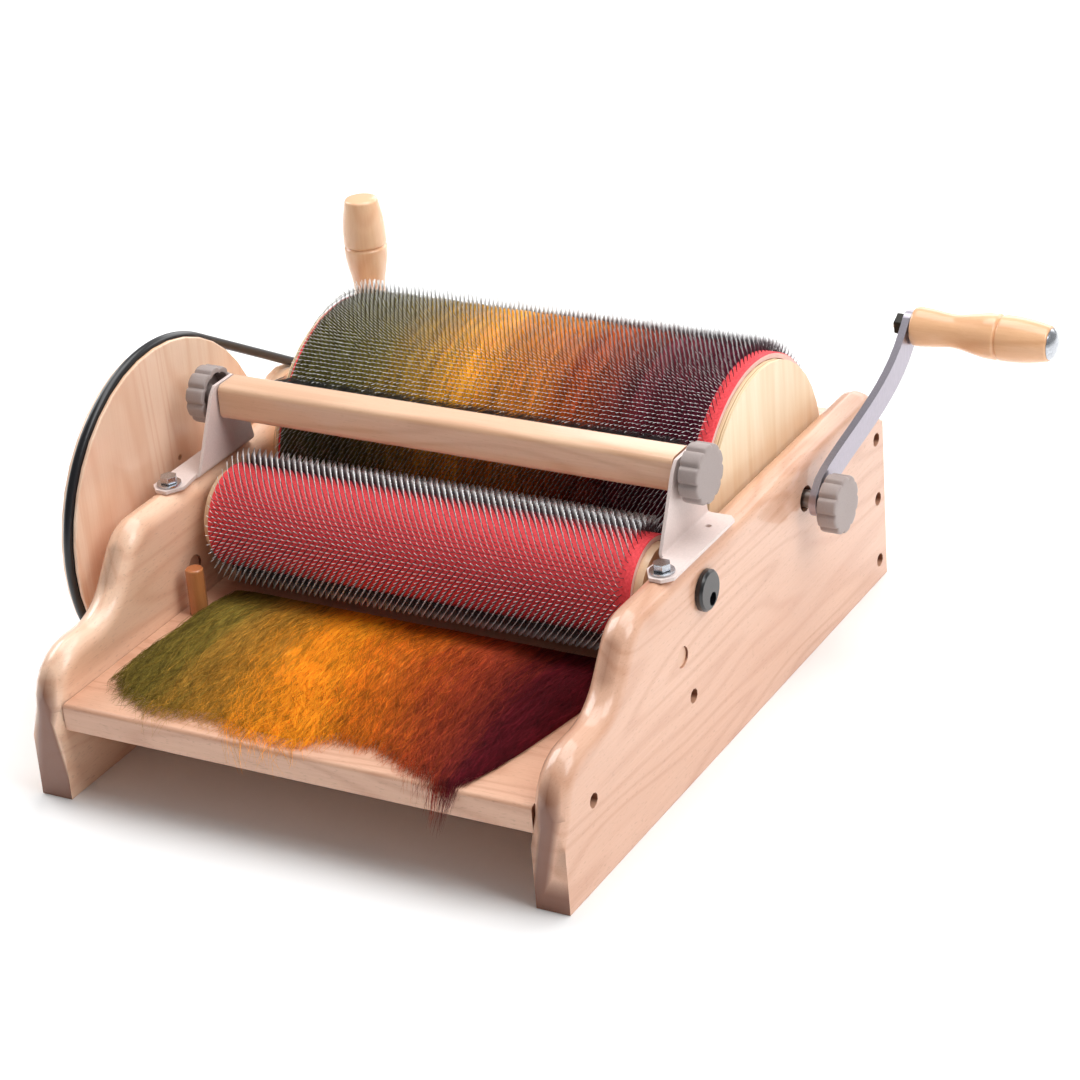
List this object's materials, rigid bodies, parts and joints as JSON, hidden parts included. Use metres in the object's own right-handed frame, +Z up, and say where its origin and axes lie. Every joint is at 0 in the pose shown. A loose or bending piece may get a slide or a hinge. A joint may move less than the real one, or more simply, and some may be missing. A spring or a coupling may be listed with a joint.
{
  "type": "drum carder",
  "caption": "Hand-cranked drum carder for blending fibre: toothed licker-in and main drum between wooden side panels, belt driven, with packing brush and doffer.",
  "frame": {"origin": "middle of the bottom of the bounding box, on the plane that the side panels stand on", "axes": "+X along the drum axles towards the crank handle, +Y from the feed tray to the rear board, +Z up"},
  "size_m": [0.545, 0.4612, 0.2467],
  "materials": {
    "beech": "clear lacquered beech, satin gloss",
    "turned_beech": "clear lacquered turned beech",
    "plywood": "sealed birch plywood",
    "dowel": "oiled hardwood dowel",
    "card_clothing": "red rubber-faced fabric foundation set with bright steel wire teeth",
    "satin_steel": "satin bright steel",
    "black_steel": "blackened steel",
    "zinc": "bright zinc plate",
    "bearing": "oiled bronze",
    "black_plastic": "glossy moulded plastic",
    "belt": "smooth extruded elastic",
    "taupe_plastic": "satin moulded plastic",
    "taupe_enamel": "semi-matt powder coat",
    "bristle": "black nylon bristle",
    "wool": "hand-dyed loose wool fibre"
  },
  "bodies": {
    "frame": {"side_panel_left": "beech", "side_panel_right": "beech", "feed_tray": "beech", "rear_board": "beech", "tray_screw_1": "black_steel", "tray_screw_2": "black_steel", "tray_screw_3": "black_steel", "tray_screw_4": "black_steel", "rear_screw_1": "black_steel", "rear_screw_2": "black_steel", "rear_screw_3": "black_steel", "rear_screw_4": "black_steel", "rear_screw_5": "black_steel", "rear_screw_6": "black_steel", "brush_bracket_left": "taupe_enamel", "brush_bracket_right": "taupe_enamel", "bracket_bolt_left": "zinc", "bracket_bolt_right": "zinc", "bracket_washer_left": "zinc", "bracket_washer_right": "zinc", "main_bearing_left": "bearing", "main_bearing_right": "bearing", "panel_plug_left": "beech", "panel_plug_right": "beech", "guide_peg_left": "dowel", "guide_peg_right": "dowel", "drive_belt": "belt", "tray_wool": "wool"},
    "main_drum": {"main_drum_core": "plywood", "drum_end_left": "plywood", "drum_end_right": "plywood", "main_card_cloth": "card_clothing", "main_shaft": "satin_steel", "drive_pulley": "beech", "drive_pulley_nut": "zinc", "crank_arm": "satin_steel", "crank_washer": "zinc", "handle_bolt": "zinc", "handle_nut": "black_steel"},
    "crank_grip": {"crank_handle": "turned_beech"},
    "crank_clamp": {"crank_knob": "taupe_plastic"},
    "gap_bushes": {"eccentric_bush_left": "black_plastic", "eccentric_bush_right": "black_plastic"},
    "licker_in": {"licker_in_core": "beech", "licker_in_card_cloth": "card_clothing", "licker_in_shaft": "satin_steel", "large_pulley": "beech", "large_pulley_nut_inner": "zinc", "large_pulley_nut_outer": "zinc", "large_pulley_washer": "zinc"},
    "packing_brush": {"brush_bar": "beech", "brush_bristles": "bristle", "brush_stud_left": "zinc", "brush_stud_right": "zinc", "brush_washer_left": "zinc", "brush_washer_right": "zinc"},
    "brush_clamp_left": {"brush_knob_left": "taupe_plastic"},
    "brush_clamp_right": {"brush_knob_right": "taupe_plastic"},
    "doffer": {"doffer_handle": "turned_beech", "doffer_spike": "satin_steel"}
  },
  "joints": [
    {"name": "main_drum_spin", "type": "hinge", "parent": "frame", "child": "main_drum", "pos_m": [-0.0495, 0.10685, 0.112], "axis": [1, 0, 0], "continuous": true},
    {"name": "crank_grip_spin", "type": "hinge", "parent": "main_drum", "child": "crank_grip", "pos_m": [0.2225, 0.20107, 0.19864], "axis": [1, 0, 0], "continuous": true},
    {"name": "crank_clamp_turn", "type": "hinge", "parent": "main_drum", "child": "crank_clamp", "pos_m": [0.1585, 0.10685, 0.112], "axis": [1, 0, 0], "continuous": true},
    {"name": "drum_gap_adjust", "type": "hinge", "parent": "frame", "child": "gap_bushes", "pos_m": [-0.0495, -0.04115, 0.1188], "axis": [1, 0, 0], "range_deg": [-30, 5], "deforming": ["drive_belt"]},
    {"name": "licker_in_spin", "type": "hinge", "parent": "gap_bushes", "child": "licker_in", "pos_m": [-0.0495, -0.03915, 0.1125], "axis": [1, 0, 0], "continuous": true},
    {"name": "brush_tilt", "type": "hinge", "parent": "frame", "child": "packing_brush", "pos_m": [-0.0495, -0.01765, 0.1845], "axis": [1, 0, 0], "range_deg": [0, 90]},
    {"name": "brush_clamp_left_turn", "type": "hinge", "parent": "packing_brush", "child": "brush_clamp_left", "pos_m": [-0.2265, -0.01765, 0.1845], "axis": [1, 0, 0], "continuous": true},
    {"name": "brush_clamp_right_turn", "type": "hinge", "parent": "packing_brush", "child": "brush_clamp_right", "pos_m": [0.1275, -0.01765, 0.1845], "axis": [1, 0, 0], "continuous": true},
    {"name": "doffer_lift", "type": "slide", "parent": "frame", "child": "doffer", "axis": [0, 0, 1], "range_m": [0, 0.11]}
  ],
  "couplings": [
    {"joint": "licker_in_spin", "follows": "main_drum_spin", "ratio": 0.33333}
  ]
}
